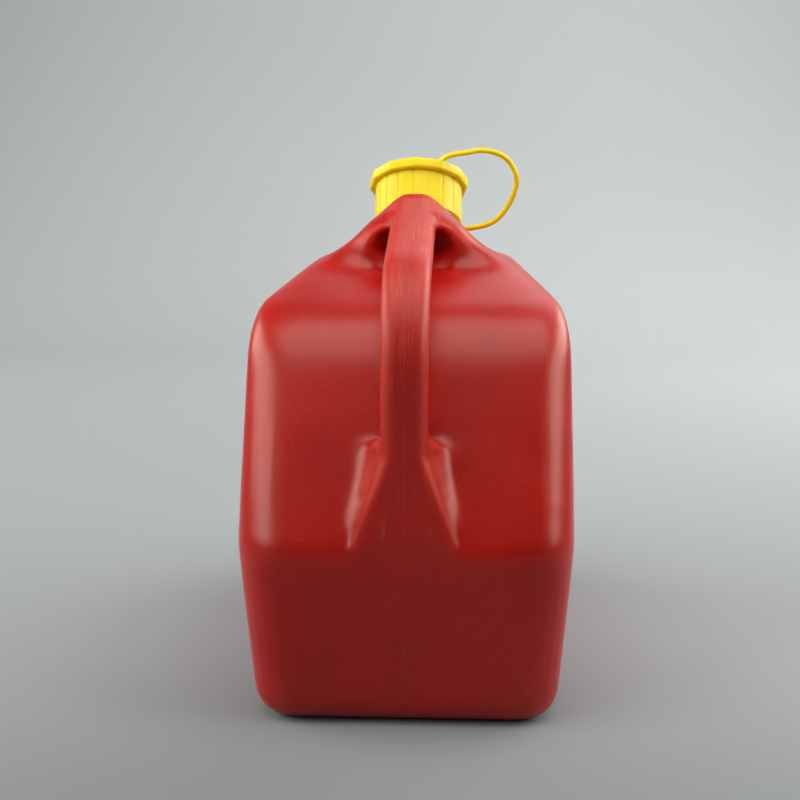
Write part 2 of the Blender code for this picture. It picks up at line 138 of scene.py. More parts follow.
# %% Place the camera
CAMERA_PLACE = (0.0244, -0.7021, 0.2434)
TIPPED_DOWN, TURNED_LEFT = math.radians(9.5), math.radians(2.6)
camera = add(
    bpy.ops.object.camera_add,
    location=CAMERA_PLACE, rotation=(math.radians(90) - TIPPED_DOWN, 0, TURNED_LEFT),
)
camera.name = "photo_camera"
camera.data.lens = 63
camera.data.clip_start = 0.02
bpy.context.scene.camera = camera

# %% [markdown]
# ## The can's skin
#
# A blow-moulded shell has no crisp edge anywhere: the hot tube of plastic is stretched over the
# mould and rounds itself off in every corner. The solid already has the right form with crisp
# creases. So a copy of its outside is closed, remeshed into even small squares and smoothed, and
# the creases turn into the soft fillets of the real can. The neck is cut off first at its seat,
# because it keeps its crisp thread and is turned as a piece of its own.

# %% Sizes of the closure, in metres along the neck's axis
SEAT = Vector((0, 0.0448, 0.2092))
TILT = math.radians(28)
TO_NECK = Matrix.Translation(SEAT) @ Matrix.Rotation(-TILT, 4, "X")
NECK_AXIS = TO_NECK.to_3x3() @ Vector((0, 0, 1))
NECK_BORE = 0.0166


def off_axis(place):
    """How far a place lies from the neck's axis."""
    offset = place - SEAT
    return (offset - offset.dot(NECK_AXIS) * NECK_AXIS).length


print("neck axis", [round(value, 3) for value in NECK_AXIS])

# %% Copy the can's solid and part it into its outside and its inside


def shells_of(node):
    """The outer and inner surface of a hollow solid, cut off at the neck's foot and closed."""
    piece = bpy.data.objects.new("shell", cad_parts[node].data.copy())
    bpy.context.scene.collection.objects.link(piece)
    only(piece)
    bpy.ops.object.mode_set(mode="EDIT")
    bpy.ops.mesh.select_all(action="SELECT")
    bpy.ops.mesh.remove_doubles(threshold=0.00001)
    bpy.ops.mesh.bisect(
        plane_co=SEAT - NECK_AXIS * 0.0002, plane_no=NECK_AXIS, clear_outer=True, use_fill=False
    )
    bpy.ops.mesh.separate(type="LOOSE")
    bpy.ops.object.mode_set(mode="OBJECT")
    shells = sorted(bpy.context.selected_objects, key=lambda shell: shell.dimensions.x)
    for shell in shells:
        face_out(shell, bpy.ops.mesh.edge_face_add)
        width = round(shell.dimensions.x, 4)
        print("shell of", len(shell.data.polygons), "faces,", width, "m wide")
    return shells[-1], shells[-2]


can_skin, chamber = shells_of("can_body")
can_skin.name = can_skin.data.name = "can_skin"
chamber.name = "chamber"

# %% [markdown]
# ## The base
#
# The base of such a can is pushed up in the middle, so that the can stands on a rim and doesn't
# rock. Nobody sees it in the photograph, but it shows when the can is tipped. A bevelled block cut
# out before the remesh makes it, and the remesh softens its edge with all the others. The chamber
# gets the same step, raised and widened by the wall, so that the wall stays 2 mm thick.

# %% Push up the base
WALL = 0.0020
STEP_WIDTH, STEP_LENGTH, STEP_HEIGHT = 0.088, 0.190, 0.0022


def base_block(grown):
    """A block about the floor's height, as wide and high as the step and grown on every side."""
    block = add(bpy.ops.mesh.primitive_cube_add, size=1)
    block.scale = (STEP_WIDTH + 2 * grown, STEP_LENGTH + 2 * grown, 2 * (STEP_HEIGHT + grown))
    settle(block)
    step = block.modifiers.new("corners", "BEVEL")
    step.width = 0.0021
    step.segments = 2
    return apply_modifiers(block)


combine(can_skin, base_block(0), "DIFFERENCE")
combine(chamber, base_block(WALL), "DIFFERENCE")
print("can_skin", len(can_skin.data.polygons), "faces before the remesh")

# %% [markdown]
# ## The finger dish
#
# Under the grip, where it meets the hood, the solid has a deep bowl for the fingers. On the real
# can the plastic draws tight there, and what shows on both sides of the grip is a smaller pocket.
# So the bowl is filled up to the roof and to the hood's rear wall with two slices of its own
# ellipsoid, and a smaller ellipsoid is scooped out. A block keeps the scoop out of the grip. The
# later smoothing rounds the rim.

# %% Fill the bowl and scoop out the pocket
DISH_PITCH = math.radians(17.5)
ROOF_UP = Vector((0, -math.sin(DISH_PITCH), math.cos(DISH_PITCH)))
BOWL_MIDDLE, BOWL = (0, -0.0268, 0.2034), (0.0232, 0.0215, 0.0142)
ON_ROOF, ON_REAR_WALL = (0, -0.0268, 0.1950), (0, -0.0272, 0)
POCKET_MIDDLE, POCKET = (0, -0.0310, 0.2052), (0.0205, 0.0160, 0.0102)
GRIP_PITCH = math.radians(13.2)
GRIP_UP = Vector((0, -math.sin(GRIP_PITCH), math.cos(GRIP_PITCH)))
GRIP_UNDERSIDE, GRIP_BLOCK = Vector((0, -0.030, 0.2056)), (0.0213, 0.08, 0.030)


def ellipsoid(middle, half_sizes):
    """An ellipsoid tipped as steeply as the dish, from its middle and half its sizes."""
    bowl = add(
        bpy.ops.mesh.primitive_uv_sphere_add, segments=40, ring_count=20, radius=1, location=middle
    )
    bowl.scale = half_sizes
    bowl.rotation_euler.x = DISH_PITCH
    return settle(bowl)


def bowl_slice(through, facing):
    """The part of the bowl's ellipsoid that lies behind a plane."""
    bowl = ellipsoid(BOWL_MIDDLE, BOWL)
    bpy.ops.object.mode_set(mode="EDIT")
    bpy.ops.mesh.select_all(action="SELECT")
    bpy.ops.mesh.bisect(plane_co=through, plane_no=facing, clear_outer=True, use_fill=True)
    bpy.ops.object.mode_set(mode="OBJECT")
    return face_out(bowl)


combine(can_skin, bowl_slice(ON_ROOF, ROOF_UP), "UNION")
combine(can_skin, bowl_slice(ON_REAR_WALL, (0, -1, 0)), "UNION")
pocket = ellipsoid(POCKET_MIDDLE, POCKET)
grip_block = add(bpy.ops.mesh.primitive_cube_add, size=1, rotation=(GRIP_PITCH, 0, 0))
grip_block.scale = GRIP_BLOCK
grip_block.location = GRIP_UNDERSIDE + GRIP_UP * GRIP_BLOCK[2] / 2
combine(pocket, settle(grip_block), "DIFFERENCE")
combine(can_skin, pocket, "DIFFERENCE")
print("pocket of", [round(2000 * half, 1) for half in POCKET], "mm")

# %% [markdown]
# ## Soft where the plastic was stretched
#
# A blown tube doesn't round off evenly. It draws wide fillets at the shoulders, at the foot of the
# hood and where the grip grows out of the body, and narrow ones on the grip itself. Each of these
# places is a mask here: a ramp over the points' coordinates, in metres. Where a mask is 1, the
# points are moved towards their neighbours again and again, and the more often, the wider the
# fillet gets.

# %% Masks from the places of a mesh's points
WAIST, WAIST_REAR = 0.0815, -0.1325
ROOF_FOOT, ROOF_REAR = 0.175, -0.0895
REAR_WALL_SLOPE, ROOF_SLOPE, ROOT_SLOPE = 0.471, 0.3245, 0.331
ROOT_HALF_WIDTH = 0.0240


def places_of(piece):
    """The x, y and z of every point of a piece, as three rows."""
    flat = np.empty(len(piece.data.vertices) * 3)
    piece.data.vertices.foreach_get("co", flat)
    return flat.reshape(-1, 3).T


def ramp(values, start, end):
    """0 up to start, 1 from end on, and a straight ramp between them."""
    return np.clip((values - start) / (end - start), 0, 1)


def band(values, start, full, end, fade):
    """1 between full and end, with a ramp up to it from start and one down over the fade."""
    return ramp(values, start, full) * ramp(end - values, 0, fade)


def grip_mask(x, y, z):
    """1 on the loop of the grip, which stands off the rear wall and the roof."""
    off_wall = WAIST_REAR + (z - WAIST) * REAR_WALL_SLOPE - y
    off_roof = z - (ROOF_FOOT + (y - ROOF_REAR) * ROOF_SLOPE)
    off = np.maximum(off_wall, off_roof)
    return ramp(off, 0.002, 0.005) * ramp(0.0146 - np.abs(x), 0, 0.003) * ramp(0.010 - y, 0, 0.010)


def weigh(piece, name, weight):
    """A vertex group with one weight for each point, in steps of a twentieth."""
    group = piece.vertex_groups.new(name=name)
    level = np.rint(weight * 20).astype(int)
    for twentieth in range(1, 21):
        members = np.flatnonzero(level == twentieth)
        if len(members):
            group.add(members.tolist(), twentieth / 20, "REPLACE")
    return group.name


# %% Remesh and soften


def relax(piece, group, passes):
    """Moves every point of a group halfway to its neighbours, as often as the passes say."""
    step = piece.modifiers.new("relax", "SMOOTH")
    step.factor = 0.5
    step.iterations = passes
    step.vertex_group = group


def soft_places(x, y, z):
    """Where the skin is softer, as a weight for each point, and how many passes each place gets."""
    across = np.abs(x)
    rear = ramp(-0.09 - y, 0, 0.01)
    body = 1 - grip_mask(x, y, z)
    # the hood's flanks up to its crest, its foot on the roof, and the pockets between them
    hood = band(z, 0.174, 0.186, 0.2285, 0.004) * ramp(y, -0.056, -0.038)
    pocket = ramp(0.028 - across, 0, 0.006) * ramp(0.219 - z, 0, 0.003) * ramp(y, -0.050, -0.044)
    foot = hood * ramp(0.209 - z, 0, 0.006) * (1 - pocket) * ramp(0.046 - across, 0, 0.012)
    # the corner between the grip's sides and the hood
    ledge = band(across, 0.0112, 0.0125, 0.024, 0.004) * band(z, 0.2155, 0.2180, 0.2275, 0.003)
    ledge *= ramp(y, -0.034, -0.030)
    # the bend from the rear and front walls into the roof, but not the corners of the can
    shoulder = ramp(z, 0.134, 0.148) * ramp(0.068 - across, 0, 0.012)
    shoulder *= np.maximum(ramp(-0.046 - y, 0, 0.008), ramp(y, 0.075, 0.085))
    # the root of the grip, the lower edge of its flanks, and the web at its top
    root = band(across, 0.016, 0.021, 0.046, 0.005) * rear
    edge = ROOT_HALF_WIDTH - (z - WAIST) * ROOT_SLOPE
    flank = ramp(across - edge, 0.0015, 0.005) * ramp(0.048 - across, 0, 0.004)
    flank *= band(z, 0.070, 0.076, 0.128, 0.006) * rear
    web = band(across, 0.0122, 0.0140, 0.030, 0.004) * band(z, 0.112, 0.119, 0.138, 0.004) * rear
    # the line round the waist
    waist = ramp(0.020 - np.abs(z - WAIST), 0, 0.010) * (1 - root)
    return {
        "shoulder": (shoulder * body, 220),
        "hood": (hood * body * (1 - 0.80 * pocket), 150),
        "foot": (foot * body, 380),
        "ledge": (ledge, 150),
        "web": (web, 90),
        "flank": (flank, 40),
        "waist": (waist, 90),
        "edges": (1 - 0.65 * ramp(z, 0.218, 0.226), 14),
    }


def soften(piece, voxel):
    """Turns a crisp closed solid into a softly rounded skin."""
    step = piece.modifiers.new("even_squares", "REMESH")
    step.mode = "VOXEL"
    step.voxel_size = voxel
    apply_modifiers(piece)
    for name, (weight, passes) in soft_places(*places_of(piece)).items():
        relax(piece, weigh(piece, name, weight), passes)
    return apply_modifiers(piece)


soften(can_skin, 0.001)
print("can_skin", len(can_skin.data.polygons), "faces after the remesh")

# %% [markdown]
# ## The parting seam
#
# The two halves of the mould meet in the can's middle plane, and leave a fine raised line there. It
# is found by cutting a copy of the skin at that plane and keeping only the cut. The cut turns into
# a thin round bead. It stops at the neck and on the rim that the can stands on, which are trimmed.
# The skin then gives up the faces that its flat walls don't need.

# %% Seam
SEAM = 0.00008
MOST_TRIANGLES = 170000


def seam_line(piece, name, radius):
    """A bead along the line where a piece meets the can's middle plane."""
    seam = bpy.data.objects.new(name, piece.data.copy())
    bpy.context.scene.collection.objects.link(seam)
    only(seam)
    bpy.ops.object.mode_set(mode="EDIT")
    bpy.ops.mesh.select_all(action="SELECT")
    bpy.ops.mesh.bisect(
        plane_co=(0, 0, 0), plane_no=(1, 0, 0), clear_inner=True, clear_outer=True, use_fill=False
    )
    bpy.ops.mesh.select_all(action="DESELECT")
    bpy.ops.object.mode_set(mode="OBJECT")
    for point in seam.data.vertices:
        height = (point.co - SEAT).dot(NECK_AXIS)
        under_neck = abs(height) < 0.0015 and off_axis(point.co) < 0.0225
        point.select = under_neck or point.co.z < 0.0004
    bpy.ops.object.mode_set(mode="EDIT")
    bpy.ops.mesh.delete(type="VERT")
    bpy.ops.object.mode_set(mode="OBJECT")
    bpy.ops.object.convert(target="CURVE")
    seam = bpy.context.object
    seam.data.bevel_depth = radius
    seam.data.bevel_resolution = 1
    bpy.ops.object.convert(target="MESH")
    return shade(bpy.context.object, 60)


can_seam = seam_line(can_skin, "can_seam", SEAM)
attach(can_seam, "can")
step = can_skin.modifiers.new("fewer_faces", "DECIMATE")
step.ratio = min(MOST_TRIANGLES / (2 * len(can_skin.data.polygons)), 1)
apply_modifiers(can_skin)
print("can_skin", len(can_skin.data.polygons), "faces kept")

# %% [markdown]
# ## The hollow inside
#
# With the cap lifted off, the neck is open and dark. The skin is a closed lump so far. The inner
# surface of the solid, joined with a bore for the neck, is cut out of it.

# %% Hollow the can
bore = add(bpy.ops.mesh.primitive_cylinder_add, vertices=64, radius=NECK_BORE, depth=0.060)
bore.matrix_world = TO_NECK @ Matrix.Translation((0, 0, 0.010))
combine(chamber, settle(bore), "UNION")
combine(can_skin, chamber, "DIFFERENCE")
shade(can_skin, 40)
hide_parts("can_body")

# %% [markdown]
# ## Paler edges and the worn grip
#
# The grip gets rubbed, and the plastic is made paler where the surface bulges sharply. Two values
# are kept with every point of the skin for the material to read: how sharply the surface bulges at
# it, and whether it lies on the grip.

# %% Bulge and grip as attributes


def bulge_of(piece, passes):
    """How convex a mesh is at every point, in one over metres, spread over its neighbours."""
    mesh = piece.data
    count = len(mesh.vertices)
    ends = np.empty(len(mesh.edges) * 2, dtype=np.int32)
    mesh.edges.foreach_get("vertices", ends)
    first, second = ends.reshape(-1, 2).T
    normals = np.empty(count * 3)
    mesh.vertices.foreach_get("normal", normals)
    normals = normals.reshape(-1, 3)
    step = np.stack(places_of(piece), axis=1)
    step = step[first] - step[second]
    long = np.maximum((step**2).sum(axis=1), 1e-9)
    bend = ((normals[first] - normals[second]) * step).sum(axis=1) / long
    near = np.bincount(first, minlength=count) + np.bincount(second, minlength=count)
    near = np.maximum(near, 1)
    bulge = (np.bincount(first, bend, count) + np.bincount(second, bend, count)) / near
    bulge = np.clip(bulge, -1000, 1000)
    for _ in range(passes):
        around = np.bincount(first, bulge[second], count) + np.bincount(second, bulge[first], count)
        bulge = (bulge + around / near) / 2
    return bulge


def keep_attribute(piece, name, values):
    """Stores one value with every point of a piece, for a material to read."""
    layer = piece.data.attributes.new(name, "FLOAT", "POINT")
    layer.data.foreach_set("value", values.astype(np.float32))
    print(name, "from", round(float(values.min()), 3), "to", round(float(values.max()), 3))


SLIGHT_BULGE, SHARP_BULGE = 25, 130
SEAM_HIGHLIGHT = 1.6
bulge = bulge_of(can_skin, 12)
keep_attribute(can_skin, "paling_and_seam_highlight", ramp(bulge, SLIGHT_BULGE, SHARP_BULGE))
keep_attribute(can_skin, "grip_wear", grip_mask(*places_of(can_skin)))
# The seam's fixed value paints its thin bead paler: a painted highlight against the shade that
# falls on it.
keep_attribute(can_seam, "paling_and_seam_highlight", np.full(len(can_seam.data.vertices), SEAM_HIGHLIGHT))

# %% [markdown]
# ## Turned pieces
#
# The neck, the cap, the gasket and the two ends of the tether are all round about the neck's axis.
# Each starts as a circle that is extruded and scaled from one level to the next, as a turner works
# along a profile. A hoop's last edge is bridged to its first.

# %% Turn a profile from a circle


def turn(name, profile, sides=96, closed="ends"):
    """A round piece about +Z from (radius, height) pairs. It is closed at its ends or as a hoop."""
    radius, height = profile[0]
    piece = add(
        bpy.ops.mesh.primitive_circle_add,
        vertices=sides, radius=radius, fill_type="NOTHING", location=(0, 0, height),
    )
    piece.name = name
    settle(piece)
    bpy.ops.object.mode_set(mode="EDIT")
    bpy.ops.mesh.select_all(action="SELECT")
    for next_radius, next_height in profile[1:]:
        bpy.ops.mesh.extrude_edges_move(
            TRANSFORM_OT_translate={"value": (0, 0, next_height - height)}
        )
        growth = next_radius / radius
        bpy.ops.transform.resize(value=(growth, growth, 1), center_override=(0, 0, next_height))
        radius, height = next_radius, next_height
    bpy.ops.object.mode_set(mode="OBJECT")
    return face_out(piece, bpy.ops.mesh.bridge_edge_loops if closed == "hoop" else fill_ends)


def onto_neck(piece):
    """Takes a piece modelled about +Z to its place on the neck."""
    piece.matrix_world = TO_NECK @ piece.matrix_world
    return settle(piece)


def thread(name, radius, depth, start, turns, lead):
    """A thread of low rounded section that winds up the neck's axis, right-handed."""
    piece = add(
        bpy.ops.mesh.primitive_circle_add,
        vertices=8, radius=1, fill_type="NOTHING", location=(radius, 0, start),
        rotation=(math.radians(90), 0, 0),
    )
    piece.name = name
    piece.scale = (depth, lead * 0.24, 1)
    settle(piece)
    step = piece.modifiers.new("wind", "SCREW")
    step.axis = "Z"
    step.angle = math.radians(360 * turns)
    step.screw_offset = lead * turns
    step.steps = step.render_steps = int(72 * turns)
    step.use_merge_vertices = False
    return face_out(apply_modifiers(piece), fill_ends)


# %% [markdown]
# ## The neck
#
# The neck is the one part of the can that is cut to size after moulding. It is a tube with a bead
# near its foot that keeps the tether's ring down, and a single thread with 4 mm lead above it.

# %% Neck with bead and thread
LEAD, TURNS = 0.004, 2.6
neck = turn(
    "neck",
    [
        (NECK_BORE, -0.0030), (0.0196, -0.0030), (0.0196, 0.0038), (0.0202, 0.0041),
        (0.0204, 0.0045), (0.0202, 0.0049), (0.0196, 0.0053), (0.0196, 0.0247),
        (0.0193, 0.0253), (0.0188, 0.0255), (0.0172, 0.0255), (NECK_BORE, 0.0249),
    ],
    closed="hoop",
)
neck_thread = thread("neck_thread", 0.0194, 0.0010, 0.0100, TURNS, LEAD)
combine(neck, neck_thread, "UNION")
onto_neck(neck)
shade(neck)
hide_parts("can_body")
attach(neck, "can")
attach(can_skin, "can")

# %% [markdown]
# ## The screw cap
#
# The cap is injection-moulded and crisp. Its skirt has 18 shallow ribs with a narrow groove between
# each two, and its outer end spreads into a twelve-sided flange that gives the hand its hold. The
# stud in the middle carries the tether's eye.

# %% Skirt with its grooves
RIBS = 18
RIB_COLUMNS = 12
SKIRT, SKIRT_INSIDE = 0.0231, 0.0208
GROOVE, GROOVE_EDGE = 0.00042, 0.00006
skirt = turn(
    "screw_cap_skirt",
    [
        (SKIRT_INSIDE, 0.0276), (SKIRT_INSIDE, 0.0046), (0.0212, 0.0042), (0.0227, 0.0042),
        (SKIRT, 0.0046), (SKIRT, 0.0238), (SKIRT, 0.0262), (0.0222, 0.0275), (0.0212, 0.0280),
    ],
    sides=RIBS * RIB_COLUMNS,
)
for point in skirt.data.vertices:
    radius = math.hypot(point.co.x, point.co.y)
    turned = math.atan2(point.co.y, point.co.x) / (2 * math.pi)
    column = round(turned * RIBS * RIB_COLUMNS) % RIB_COLUMNS
    if radius > SKIRT - 0.0005 and point.co.z < 0.0255 and column in (0, 1, RIB_COLUMNS - 1):
        inwards = GROOVE if column == 0 else GROOVE_EDGE
        point.co.x *= 1 - inwards / radius
        point.co.y *= 1 - inwards / radius
skirt.matrix_world = Matrix.Rotation(math.radians(5), 4, "Z")
settle(skirt)
print("skirt grooves", RIBS)

# %% Twelve-sided flange and stud
FLANGE, FLANGE_SIDES = 0.0265, 12
screw_cap = add(
    bpy.ops.mesh.primitive_cylinder_add,
    vertices=FLANGE_SIDES, radius=FLANGE, depth=0.0056, location=(0, 0, 0.0274),
)
screw_cap.name = "screw_cap"
screw_cap.rotation_euler.z = math.radians(-3)
settle(screw_cap)
step = screw_cap.modifiers.new("soft_edges", "BEVEL")
step.width = 0.0011
step.segments = 4
step.limit_method = "ANGLE"
step.angle_limit = math.radians(20)
apply_modifiers(screw_cap)
room = add(
    bpy.ops.mesh.primitive_cylinder_add,
    vertices=96, radius=SKIRT_INSIDE, depth=0.006, location=(0, 0, 0.0246),
)
combine(screw_cap, settle(room), "DIFFERENCE")
combine(screw_cap, skirt, "UNION")
stud = turn(
    "cap_stud",
    [(0.0032, 0.0298), (0.0032, 0.0336), (0.0044, 0.0337), (0.0046, 0.0341), (0.0042, 0.0348),
     (0.0030, 0.0352)],
    sides=48,
)
combine(screw_cap, stud, "UNION")
cap_thread = thread("cap_thread", 0.0210, 0.0009, 0.0080, TURNS, LEAD)
combine(screw_cap, cap_thread, "UNION")
onto_neck(screw_cap)
shade(screw_cap, 32)
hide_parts("screw_cap")
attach(screw_cap, "cap")

# %% [markdown]
# ## The gasket
#
# A thin rubber washer lies against the cap's ceiling and seals on the mouth of the neck.

# %% Gasket
gasket = turn(
    "gasket",
    [
        (0.0158, 0.0259), (0.0161, 0.0258), (0.0200, 0.0258), (0.0203, 0.0261),
        (0.0203, 0.0270), (0.0200, 0.0273), (0.0161, 0.0273), (0.0158, 0.0270),
    ],
    sides=72, closed="hoop",
)
onto_neck(gasket)
shade(gasket)
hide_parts("cap_gasket")
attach(gasket, "cap")

# %% [markdown]
# ## The tether
#
# Ring, strap and eye are one soft moulding. The ring sits on the neck under the bead, the eye snaps
# over the cap's stud, and where the strap leaves them it is thicker, so that it doesn't tear there.

# %% Ring and eye
STRAP = 0.0028
RING_HEIGHT, EYE_HEIGHT = 0.0018, 0.0319
EYE_TURNED = math.radians(-56)


def tether_end(name, profile, reach, height, turned_by):
    """A hoop with a tapered root that the strap continues."""
    hoop = turn(name, profile, sides=96, closed="hoop")
    inner = sum(radius for radius, _ in profile) / len(profile)
    root = add(
        bpy.ops.mesh.primitive_cone_add,
        vertices=32, radius1=STRAP / 2 + 0.0001, radius2=STRAP / 2, depth=reach - inner,
    )
    root.matrix_world = (
        Matrix.Rotation(turned_by, 4, "Z")
        @ Matrix.Translation(((reach + inner) / 2, 0, height))
        @ Matrix.Rotation(math.radians(90), 4, "Y")
    )
    combine(hoop, settle(root), "UNION")
    onto_neck(hoop)
    return shade(hoop)


neck_ring = tether_end(
    "tether_ring",
    [(0.0199, 0.0006), (0.0202, 0.0003), (0.0217, 0.0003), (0.0222, 0.0008), (0.0222, 0.0028),
     (0.0217, 0.0033), (0.0202, 0.0033), (0.0199, 0.0030)],
    0.0252, RING_HEIGHT, 0,
)
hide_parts("tether_neck_ring")
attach(neck_ring, "can")
cap_eye = tether_end(
    "tether_eye",
    [(0.0035, 0.0308), (0.0038, 0.0305), (0.0063, 0.0305), (0.0068, 0.0310), (0.0068, 0.0328),
     (0.0063, 0.0333), (0.0038, 0.0333), (0.0035, 0.0330)],
    0.0098, EYE_HEIGHT, EYE_TURNED,
)
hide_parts("tether_cap_eye")
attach(cap_eye, "tether_end")

# %% [markdown]
# ## The strap
#
# The strap leaves the ring sideways, stands up in a loop and comes down on the cap from behind the
# flange. Its places are listed along the loop that the photograph shows. It is made in two
# lengths, a lower half from the ring and an upper half to the eye.

# %% Route of the strap
EYE_WAY = Vector((math.cos(EYE_TURNED), math.sin(EYE_TURNED), 0))


def near_ring(distance):
    return TO_NECK @ Vector((distance, 0, RING_HEIGHT))


def near_eye(distance):
    return TO_NECK @ (EYE_WAY * distance + Vector((0, 0, EYE_HEIGHT)))


route = [
    near_ring(0.0255), near_ring(0.0283),
    Vector((0.0395, 0.0445, 0.2140)), Vector((0.0475, 0.0410, 0.2228)),
    Vector((0.0517, 0.0365, 0.2360)), Vector((0.0458, 0.0325, 0.2472)),
    Vector((0.0350, 0.0310, 0.2511)), Vector((0.0250, 0.0345, 0.2500)),
    near_eye(0.0281), near_eye(0.0129), near_eye(0.0101),
]


def smooth_curve(places, steps=12):
    """Places close together on a smooth curve through the route (Catmull-Rom)."""
    padded = [2 * places[0] - places[1], *places, 2 * places[-1] - places[-2]]
    curve = []
    for a, b, c, d in zip(padded, padded[1:], padded[2:], padded[3:]):
        for k in range(steps):
            t = k / steps
            curve.append(
                (2 * b + (c - a) * t + (2 * a - 5 * b + 4 * c - d) * t**2
                 + (3 * b - 3 * c + d - a) * t**3) / 2
            )
    return [*curve, places[-1]]


def resample(places, start, end, spacing):
    """Places at even distances along a curve, from one distance along it to another."""
    steps = [0.0]
    for first, second in zip(places, places[1:]):
        steps.append(steps[-1] + (second - first).length)
    count = max(round((end - start) / spacing), 2)
    wanted = [start + (end - start) * k / count for k in range(count + 1)]
    columns = [np.interp(wanted, steps, [place[axis] for place in places]) for axis in range(3)]
    return [Vector(place) for place in zip(*columns)]


loop = smooth_curve(route)
strap_length = sum((second - first).length for first, second in zip(loop, loop[1:]))
print("strap length", round(strap_length, 4))

# %% Two lengths of strap
GAP = 0.0003
SPACING = 0.0022


def strap(name, start, end):
    """A round strap along a stretch of the loop, and the places that it runs through."""
    path = resample(loop, start, end, SPACING)
    curve = bpy.data.curves.new(name, "CURVE")
    curve.dimensions = "3D"
    curve.bevel_depth = STRAP / 2
    curve.bevel_resolution = 4
    curve.use_fill_caps = True
    line = curve.splines.new("POLY")
    line.points.add(len(path) - 1)
    for point, place in zip(line.points, path):
        point.co = (*place, 1)
    piece = bpy.data.objects.new(name, curve)
    bpy.context.scene.collection.objects.link(piece)
    only(piece)
    bpy.ops.object.convert(target="MESH")
    piece = bpy.context.object
    return shade(piece, 60), path


strap_lower, lower_path = strap("tether_strap_low", 0, strap_length / 2 - GAP / 2)
strap_upper, upper_path = strap("tether_strap_high", strap_length / 2 + GAP / 2, strap_length)
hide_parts("tether_strap_lower")
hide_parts("tether_strap_upper")
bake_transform(strap_lower)
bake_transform(strap_upper)

# %% [markdown]
# ## Materials
#
# Polyethylene has a deep colour under a waxy, slightly grainy skin, and light soaks into it. Red
# and yellow share two node groups. One makes the skin: fine grain and slow waves as a bump, and a
# cloud that the colour drifts with. The other makes fine parallel streaks, which are drag lines of
# the mould on the grip and scratches on the walls.

# %% Node groups for skin and streaks
NUMBER, VECTOR = "NodeSocketFloat", "NodeSocketVector"


def new_group(name, inputs, outputs):
    group = bpy.data.node_groups.new(name, "ShaderNodeTree")
    for label, kind in inputs:
        group.interface.new_socket(label, in_out="INPUT", socket_type=kind)
    for label, kind in outputs:
        group.interface.new_socket(label, in_out="OUTPUT", socket_type=kind)
    nodes = group.nodes
    return group, nodes.new("NodeGroupInput"), nodes.new("NodeGroupOutput")


def texture(nodes, scale, detail, rough=0.5):
    noise = nodes.new("ShaderNodeTexNoise")
    noise.inputs["Scale"].default_value = scale
    noise.inputs["Detail"].default_value = detail
    noise.inputs["Roughness"].default_value = rough
    return noise


def window(nodes, low, high, top=1.0, bottom=0.0, smooth=False):
    """A node that maps low to the bottom value and high to the top one, and holds both ends."""
    span = nodes.new("ShaderNodeMapRange")
    ends = {"From Min": low, "From Max": high, "To Min": bottom, "To Max": top}
    for label, value in ends.items():
        span.inputs[label].default_value = value
    if smooth:
        span.interpolation_type = "SMOOTHSTEP"
    return span


def plastic_skin():
    """Grain, slow waves and marks as one normal, and two masks: a slow cloud and fine specks."""
    group, entry, out = new_group(
        "plastic_skin",
        [("Grain scale", NUMBER), ("Grain height", NUMBER), ("Marks", NUMBER)],
        [("Cloud", NUMBER), ("Speck", NUMBER), ("Normal", VECTOR)],
    )
    nodes, links = group.nodes, group.links
    place = nodes.new("ShaderNodeTexCoord")
    grain = texture(nodes, 900, 3)
    waves = texture(nodes, 38, 1)
    cloud = texture(nodes, 17, 5, 0.6)
    speck = texture(nodes, 420, 2)
    speck_window = window(nodes, 0.62, 0.74)
    for noise in (grain, waves, cloud, speck):
        links.new(place.outputs["Object"], noise.inputs["Vector"])
    slow, marks, fine = (nodes.new("ShaderNodeBump") for _ in range(3))
    slow.inputs["Strength"].default_value = 0.35
    slow.inputs["Distance"].default_value = 0.0011
    marks.inputs["Strength"].default_value = 0.5
    marks.inputs["Distance"].default_value = 0.00012
    fine.inputs["Strength"].default_value = 0.5
    links.new(entry.outputs["Grain scale"], grain.inputs["Scale"])
    links.new(entry.outputs["Grain height"], fine.inputs["Distance"])
    links.new(waves.outputs["Fac"], slow.inputs["Height"])
    links.new(entry.outputs["Marks"], marks.inputs["Height"])
    links.new(grain.outputs["Fac"], fine.inputs["Height"])
    links.new(slow.outputs["Normal"], marks.inputs["Normal"])
    links.new(marks.outputs["Normal"], fine.inputs["Normal"])
    links.new(fine.outputs["Normal"], out.inputs["Normal"])
    links.new(cloud.outputs["Fac"], out.inputs["Cloud"])
    links.new(speck.outputs["Fac"], speck_window.inputs["Value"])
    links.new(speck_window.outputs["Result"], out.inputs["Speck"])
    return group


def streaks():
    """Thin lines along the turned Z axis, of the size's length and width, in some places only."""
    group, entry, out = new_group(
        "streaks", [("Turn", VECTOR), ("Size", VECTOR), ("Patches", NUMBER)], [("Mask", NUMBER)]
    )
    nodes, links = group.nodes, group.links
    place = nodes.new("ShaderNodeTexCoord")
    turned = nodes.new("ShaderNodeMapping")
    turned.vector_type = "TEXTURE"
    line = texture(nodes, 1, 2, 0.6)
    patch = texture(nodes, 30, 1)
    line_window = window(nodes, 0.50, 0.72)
    patch_window = window(nodes, 0.42, 0.62)
    both = nodes.new("ShaderNodeMath")
    both.operation = "MULTIPLY"
    links.new(place.outputs["Object"], turned.inputs["Vector"])
    links.new(entry.outputs["Turn"], turned.inputs["Rotation"])
    links.new(entry.outputs["Size"], turned.inputs["Scale"])
    links.new(turned.outputs["Vector"], line.inputs["Vector"])
    links.new(place.outputs["Object"], patch.inputs["Vector"])
    links.new(entry.outputs["Patches"], patch.inputs["Scale"])
    links.new(line.outputs["Fac"], line_window.inputs["Value"])
    links.new(patch.outputs["Fac"], patch_window.inputs["Value"])
    links.new(line_window.outputs["Result"], both.inputs[0])
    links.new(patch_window.outputs["Result"], both.inputs[1])
    links.new(both.outputs["Value"], out.inputs["Mask"])
    return group


